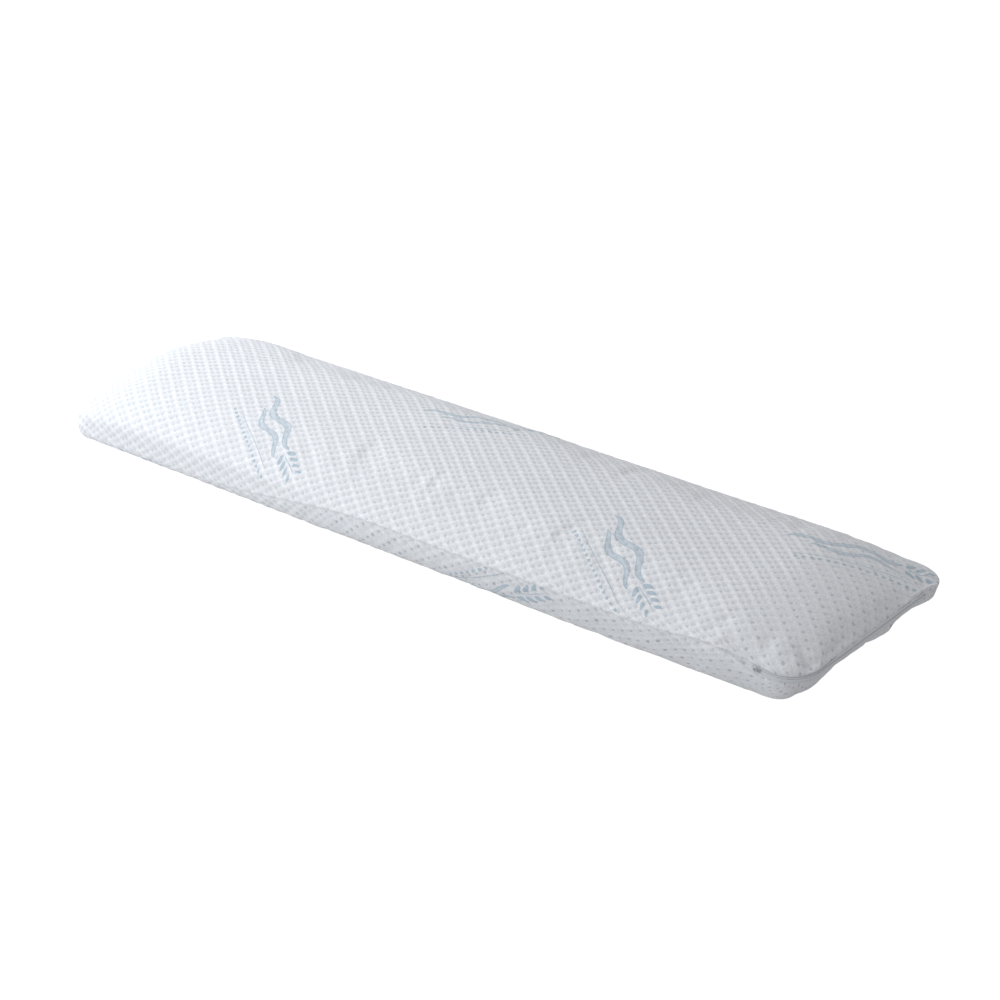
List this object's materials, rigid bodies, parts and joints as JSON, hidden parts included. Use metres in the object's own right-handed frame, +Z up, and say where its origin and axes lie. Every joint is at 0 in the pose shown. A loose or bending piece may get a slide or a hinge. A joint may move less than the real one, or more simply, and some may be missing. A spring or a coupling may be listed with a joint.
{
  "type": "long flat bed pillow",
  "caption": "Long flat bed pillow in a zipped jacquard knit cover, with rounded corners and a seam around its sides.",
  "frame": {"origin": "on the surface that the pillow lies on, under the middle of its box", "axes": "+X along the pillow's length towards the zipped end, +Y across its width away from the side where the zip starts, +Z up out of the surface"},
  "size_m": [1.3493, 0.3537, 0.1001],
  "materials": {
    "knit_cover": "white double knit with small blue-grey dimples and a pale blue print",
    "zip_tape": "white woven tape",
    "zip_coil": "white nylon coil",
    "zip_metal": "plain nickel colour"
  },
  "bodies": {
    "root": {"pillow_body": "knit_cover", "zip_tape_upper": "zip_tape", "zip_tape_lower": "zip_tape", "zip_coil": "zip_coil", "zip_slider": "zip_metal", "zip_pull": "zip_metal"}
  },
  "joints": []
}
